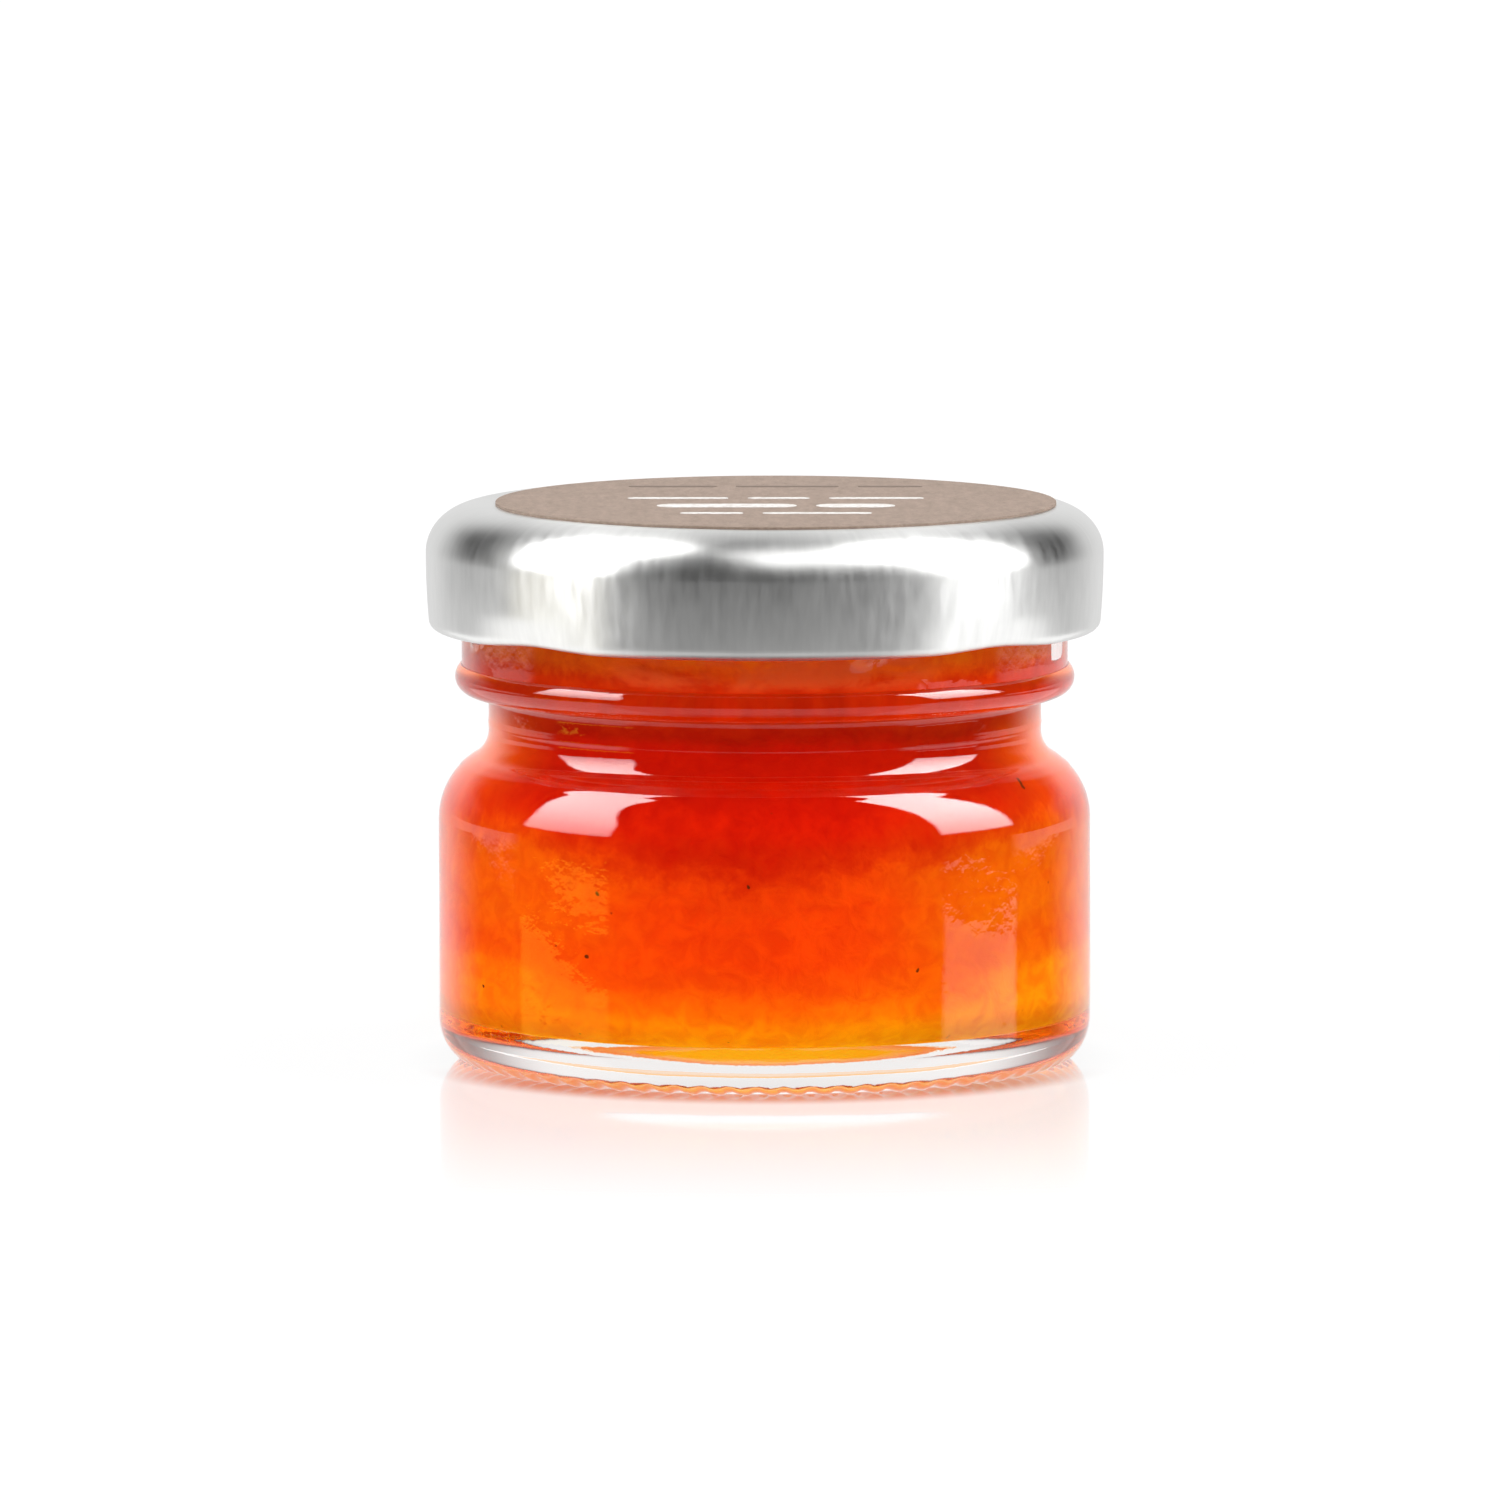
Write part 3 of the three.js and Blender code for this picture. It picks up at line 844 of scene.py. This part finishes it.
def lid_material():
    """Satin tinplate with fine turning marks, which stretch reflections up and down."""
    material, graph = new_material("brushed_tinplate")
    place, x, y, z, azimuth = graph.place()
    around = graph.product(azimuth, DEGREE * LID_RADIUS)
    streaks = graph.noise(graph.vector(around, graph.product(z, STREAK_LENGTH), 0.0), *STREAK_NOISE)
    cloud = graph.noise(place, *CLOUD_NOISE)
    uneven = graph.math("MULTIPLY_ADD", cloud, 0.5, graph.product(streaks, 0.5))
    shader = graph.add(
        "ShaderNodeBsdfPrincipled",
        {
            "Base Color": graph.mix(streaks, TINPLATE_DARK, TINPLATE_PALE),
            "Metallic": 1.0,
            "Roughness": graph.linear(uneven, *DULL_RANGE, LID_SMOOTH, LID_DULL),
            "Anisotropic": LID_BRUSH,
            "Anisotropic Rotation": QUARTER_TURN,
            "Tangent": graph.add("ShaderNodeTangent", direction_type="RADIAL", axis="Z").outputs[0],
        },
    ).outputs[0]
    graph.surface(shader)
    return material


# Label
def make_label():
    low = LID_TOP
    top = LABEL_TOP
    edge = LABEL_RADIUS - LABEL_EDGE
    outline = joined(
        line((0, low), (LABEL_RADIUS, low), LABEL_UNDERSIDE_STEP),
        line((LABEL_RADIUS, low), (LABEL_RADIUS, top - LABEL_EDGE), FINE_STEP),
        arc((edge, top - LABEL_EDGE), (LABEL_EDGE, LABEL_EDGE), 0, 90, PAPER_EDGE_STEP),
        line((edge, top), (0, top), LABEL_TOP_STEP),
    )
    mesh = turned("label_disc", outline, LABEL_SEGMENTS)
    mesh.transform(Matrix.Translation((LABEL_MIDDLE * MM, 0, 0)))
    return piece("label_disc", mesh, paper_material(), "label")


def rounded_bar(middle_x, y, length, thickness):
    """Outline of a flat bar with round ends, anticlockwise seen from above."""
    half = thickness / 2
    reach = length / 2 - half
    right = arc((middle_x + reach, y), (half, half), -90, 90, BAR_STEP)
    left = arc((middle_x - reach, y), (half, half), 90, 270, BAR_STEP)
    return np.vstack((right, left))


def make_marks():
    """Rows of plain bars in the place of the print."""
    low = LABEL_TOP - MARK_SUNK
    high = LABEL_TOP + MARK_RELIEF
    points = []
    faces = []
    for y, thickness, lengths in MARK_ROWS:
        left = LABEL_MIDDLE - (sum(lengths) + MARK_GAP * (len(lengths) - 1)) / 2
        for length in lengths:
            outline = rounded_bar(left + length / 2, y, length, thickness)
            count = len(outline)
            first = len(points)
            points.extend((px, py, low) for px, py in outline)
            points.extend((px, py, high) for px, py in outline)
            bottom = [first + i for i in range(count)]
            top = [first + count + i for i in range(count)]
            faces.append(bottom[::-1])
            faces.append(top)
            faces.extend((bottom[i - 1], bottom[i], top[i], top[i - 1]) for i in range(count))
            left += length + MARK_GAP
    return piece("label_marks", mesh_of("label_marks", points, faces), ink_material())


WEAR_NOISE = (3.0, 4.0, 0.7)
WEAR_RANGE = (0.35, 0.6)
INK_ROUGHNESS = 0.7
INK_RELIEF = 0.01


def ink_material():
    """Matt white ink, slightly worn, and brown ink for the row at the back."""
    material, graph = new_material("label_ink")
    place, x, y, z, azimuth = graph.place()
    wear = graph.noise(place, *WEAR_NOISE)
    white = graph.mix(graph.rise(wear, *WEAR_RANGE), *WHITE_INK)
    brown = graph.mix(wear, *BROWN_INK)
    at_back = graph.rise(y, DARK_ROW - DARK_ROW_EDGE, DARK_ROW + DARK_ROW_EDGE)
    shader = graph.add(
        "ShaderNodeBsdfPrincipled",
        {
            "Base Color": graph.mix(at_back, white, brown),
            "Roughness": INK_ROUGHNESS,
            "Normal": graph.relief(wear, INK_RELIEF),
        },
    ).outputs[0]
    graph.surface(shader)
    return material


PAPER_GRAIN = (4.0, 5.0, 0.7)
PAPER_FIBRES = (1.5, 4.0, 0.6)
FIBRE_LENGTH = 0.3
GRAIN_SHARE = 0.6
TONE_RANGE = (0.3, 0.7)
PAPER_ROUGHNESS = 0.75
PAPER_RELIEF = 0.03


def paper_material():
    """Uncoated brown paper with a fine grain."""
    material, graph = new_material("brown_paper")
    place, x, y, z, azimuth = graph.place()
    grain = graph.noise(place, *PAPER_GRAIN)
    fibres = graph.noise(graph.vector(x, graph.product(y, FIBRE_LENGTH), z), *PAPER_FIBRES)
    tone = graph.math("MULTIPLY_ADD", grain, GRAIN_SHARE, graph.product(fibres, 1 - GRAIN_SHARE))
    shader = graph.add(
        "ShaderNodeBsdfPrincipled",
        {
            "Base Color": graph.mix(graph.linear(tone, *TONE_RANGE), PAPER_DARK, PAPER_PALE),
            "Roughness": PAPER_ROUGHNESS,
            "Normal": graph.relief(grain, PAPER_RELIEF),
        },
    ).outputs[0]
    graph.surface(shader)
    return material


# Studio
def make_floor():
    half = FLOOR_SIZE / 2
    corners = [(-half, -half, 0), (half, -half, 0), (half, half, 0), (-half, half, 0)]
    mesh = bpy.data.meshes.new("studio_floor")
    mesh.from_pydata(corners, [], [(0, 1, 2, 3)])
    floor = bpy.data.objects.new("studio_floor", mesh)
    floor.location.z = -FLOOR_DROP
    bpy.context.scene.collection.objects.link(floor)
    mesh.materials.append(floor_material())
    floor.visible_glossy = False


def floor_material():
    """Bright white acrylic with a weak reflection close to the jar, painted light under the jar, a painted
    shadow tinted orange at the front of its foot, and a painted pool of orange light behind it.
    """
    material, graph = new_material("white_acrylic")
    place, x, y, z, azimuth = graph.place()
    distance = graph.math("SQRT", graph.total(graph.product(x, x), graph.product(y, y)))
    outside = graph.rise(distance, JAR_FOOT - FOOT_EDGE, JAR_FOOT)
    broad = graph.rise(distance, JAR_FOOT, BROAD_REACH, BROAD_GLOSS, 0.0)
    contact = graph.rise(distance, JAR_FOOT, CONTACT_REACH, CONTACT_GLOSS, 0.0)
    direct = graph.math("SUBTRACT", 1.0, graph.add("ShaderNodeLightPath").outputs["Is Diffuse Ray"])
    gloss = graph.product(graph.total(broad, contact), outside, direct)
    # Painted shadow, tinted orange, at the front of the jar's foot, and a painted pool of orange light on the
    # table behind the jar.
    front = graph.rise(y, *CONTACT_SHADOW_FRONT, 1.0, 0.0)
    near = graph.product(graph.rise(distance, JAR_FOOT, CONTACT_REACH, 1.0, 0.0), outside, front, direct)
    behind = graph.product(graph.window(x, *GLOW_ACROSS), graph.window(y, *GLOW_BEHIND))
    shadow_and_glow = graph.mix(near, graph.mix(behind, (1, 1, 1, 1), GLOW_COLOUR), CONTACT_SHADOW_COLOUR)
    strength = graph.rise(distance, JAR_FOOT - FOOT_EDGE, JAR_FOOT, UNDER_JAR, TABLE_WHITE)
    glow = graph.add("ShaderNodeEmission", {"Color": shadow_and_glow, "Strength": strength}).outputs[0]
    matt = graph.add("ShaderNodeBsdfDiffuse", {"Color": FLOOR_GREY}).outputs[0]
    white = graph.add("ShaderNodeAddShader", {0: glow, 1: matt}).outputs[0]
    mirror = graph.add("ShaderNodeBsdfGlossy", {"Color": (1, 1, 1, 1), "Roughness": FLOOR_SHINE}).outputs[0]
    graph.surface(graph.add("ShaderNodeMixShader", {0: gloss, 1: white, 2: mirror}).outputs[0])
    return material


def studio_table(graph, elevation, sideways, right_panel, strip):
    """Light of the table in front of the jar, beside it and behind it."""
    shade = graph.rise(elevation, *JAR_SHADE)
    near = graph.product(graph.rise(elevation, *NEAR_TABLE), shade)
    beside = graph.window(sideways, *SIDE_TABLE_ACROSS)
    side = graph.product(beside, graph.rise(elevation, *SIDE_TABLE), shade)
    gaps = graph.window(sideways, *FAR_TABLE_ACROSS)
    far = graph.product(gaps, graph.window(elevation, *FAR_TABLE_UP), FAR_TABLE)
    right = graph.product(right_panel, strip, RIGHT_STRIP)
    return graph.math("MAXIMUM", graph.math("MAXIMUM", near, side), graph.math("MAXIMUM", far, right))


def studio_world():
    """White backdrop behind the jar, a soft panel at each side, a bright table and a dark room in front."""
    world = bpy.data.worlds.new("studio")
    world.use_nodes = True
    bpy.context.scene.world = world
    graph = Graph(world.node_tree)
    direction = graph.add("ShaderNodeTexCoord").outputs["Generated"]
    x, y, z = graph.add("ShaderNodeSeparateXYZ", {0: direction}).outputs
    azimuth = graph.azimuth(x, y)
    elevation = graph.math("DEGREES", graph.math("ARCSINE", z))
    sideways = graph.math("ABSOLUTE", azimuth)

    inset = graph.rise(elevation, *BACKDROP_INSET)
    behind = graph.rise(graph.math("SUBTRACT", sideways, inset), *BACKDROP_EDGE)
    backdrop = graph.product(behind, graph.rise(elevation, *BACKDROP_FADE))
    lean = graph.rise(elevation, *LEFT_PANEL_LEAN)
    left_panel = graph.window(graph.total(azimuth, lean), *LEFT_PANEL_ACROSS)
    right_panel = graph.window(azimuth, *RIGHT_PANEL_ACROSS)
    left_strength = graph.rise(elevation, 0.0, PANEL_HALF_WAY, *LEFT_PANEL)
    right_strength = graph.rise(elevation, 0.0, PANEL_HALF_WAY, *RIGHT_PANEL)
    left = graph.product(left_panel, graph.window(elevation, *LEFT_PANEL_UP), left_strength)
    right = graph.product(right_panel, graph.window(elevation, *RIGHT_PANEL_UP), right_strength)
    strip = graph.window(elevation, *STRIP_UP)
    table = studio_table(graph, elevation, sideways, right_panel, strip)
    light = graph.total(graph.math("MAXIMUM", backdrop, table), left, right, DARK_ROOM)
    seen = graph.add("ShaderNodeLightPath").outputs["Is Camera Ray"]
    strength = graph.math("MAXIMUM", light, seen)
    white = graph.add("ShaderNodeBackground", {"Strength": strength}).outputs[0]
    warm_inputs = {"Color": LEFT_STRIP_COLOUR, "Strength": graph.product(left_panel, strip, LEFT_STRIP)}
    warm = graph.add("ShaderNodeBackground", warm_inputs).outputs[0]
    both = graph.add("ShaderNodeAddShader", {0: white, 1: warm}).outputs[0]
    graph.add("ShaderNodeOutputWorld", {"Surface": both})


def aim_at_jar(thing):
    thing.rotation_euler = (-Vector(thing.location)).to_track_quat("-Z", "Y").to_euler()


def fill_light():
    """Soft front light that the glass and the lid don't mirror."""
    lamp = bpy.data.lights.new("front_fill", "AREA")
    lamp.shape = "DISK"
    lamp.size = FILL_SIZE
    lamp.energy = FILL_POWER
    fill = bpy.data.objects.new("front_fill", lamp)
    fill.location = FILL_PLACE
    aim_at_jar(fill)
    fill.visible_glossy = False
    fill.visible_transmission = False
    bpy.context.scene.collection.objects.link(fill)


def lid_light(lid):
    """Soft box above the front of the jar for the metal alone."""
    lamp = bpy.data.lights.new("lid_light", "AREA")
    lamp.size = LID_LIGHT_SIZE
    lamp.energy = LID_LIGHT_POWER
    box = bpy.data.objects.new("lid_light", lamp)
    azimuth, elevation, distance = LID_LIGHT_PLACE
    turn = azimuth * DEGREE
    level = distance * math.cos(elevation * DEGREE)
    height = distance * math.sin(elevation * DEGREE)
    box.location = (level * math.sin(turn), -level * math.cos(turn), height)
    aim_at_jar(box)
    bpy.context.scene.collection.objects.link(box)
    metal = bpy.data.collections.new("lid_only")
    metal.objects.link(lid)
    box.light_linking.receiver_collection = metal


def make_camera():
    data = bpy.data.cameras.new("camera")
    data.sensor_width = CAMERA_SENSOR
    data.lens = CAMERA_LENS
    data.clip_end = CAMERA_REACH
    camera = bpy.data.objects.new("camera", data)
    camera.location = CAMERA_PLACE
    aim = Vector(CAMERA_TARGET) - Vector(CAMERA_PLACE)
    camera.rotation_euler = aim.to_track_quat("-Z", "Y").to_euler()
    bpy.context.scene.collection.objects.link(camera)
    bpy.context.scene.camera = camera


def colour_management():
    settings = bpy.context.scene.view_settings
    settings.view_transform = "Standard"
    settings.look = "None"


def light_paths():
    """Light goes back and forth many times in the thick glass of the base."""
    cycles = bpy.context.scene.cycles
    cycles.max_bounces = GLASS_BOUNCES
    cycles.glossy_bounces = GLASS_BOUNCES
    cycles.transmission_bounces = GLASS_BOUNCES
    cycles.diffuse_bounces = DIFFUSE_BOUNCES


make_camera()
make_glass()
make_jam()
lid = make_lid()
make_label()
make_marks()
make_floor()
studio_world()
fill_light()
lid_light(lid)
colour_management()
light_paths()
